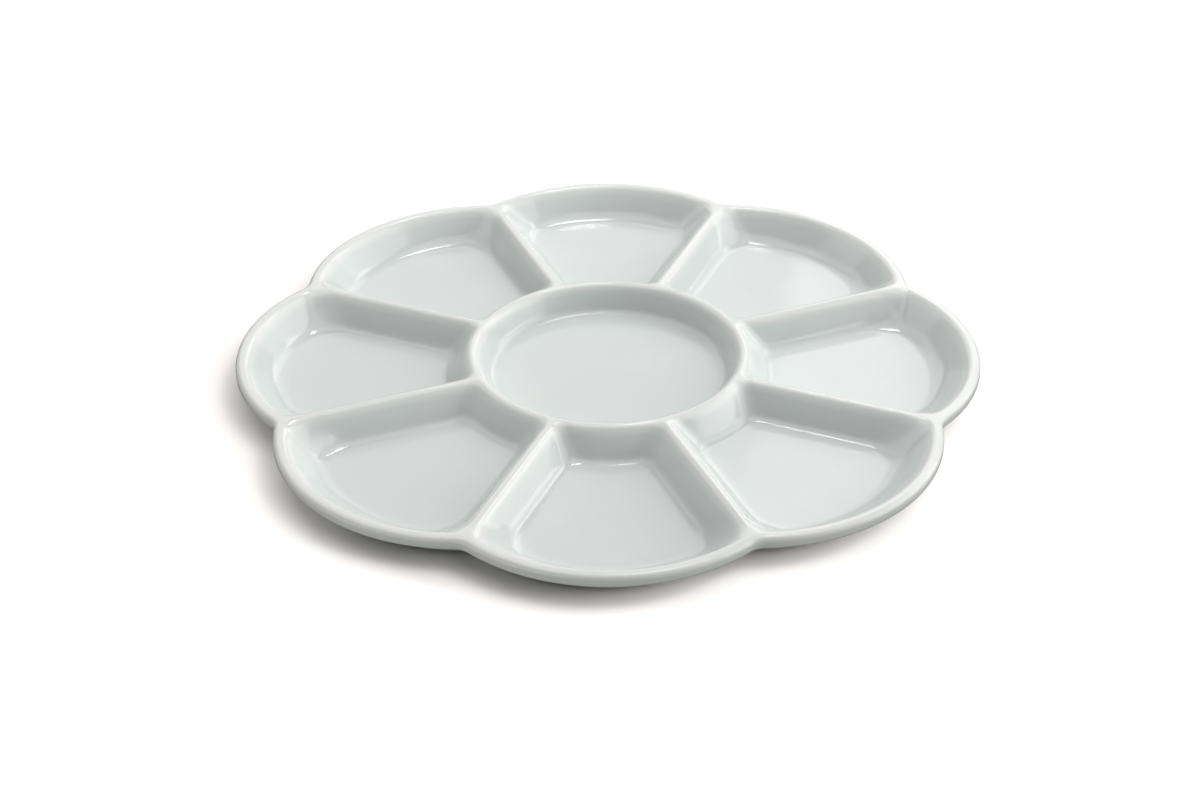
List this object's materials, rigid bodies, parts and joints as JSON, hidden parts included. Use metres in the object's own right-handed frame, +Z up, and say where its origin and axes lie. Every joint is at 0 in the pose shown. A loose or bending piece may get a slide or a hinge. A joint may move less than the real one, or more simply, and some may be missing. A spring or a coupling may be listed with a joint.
{
  "type": "mixing palette",
  "caption": "Flower-shaped glazed porcelain paint palette: petal-shaped mixing wells with low ridges between them around one round well, on a bare foot ring.",
  "frame": {"origin": "centre of the foot ring, on the surface that the palette stands on", "axes": "+Z up out of the wells; petals point along +X, -X, +Y and -Y and along the diagonals between them; -Y is the side nearest the viewer"},
  "size_m": [0.178, 0.178, 0.0103],
  "materials": {
    "biscuit": "unglazed fired porcelain, seen only on the foot ring",
    "glaze": "glossy white glaze with a faint cool green tint where it pools",
    "base_glaze": "glossy white glaze inside the foot ring"
  },
  "bodies": {
    "root": {"porcelain_body": "biscuit", "glaze_coat": "glaze", "base_glaze": "base_glaze"}
  },
  "joints": []
}
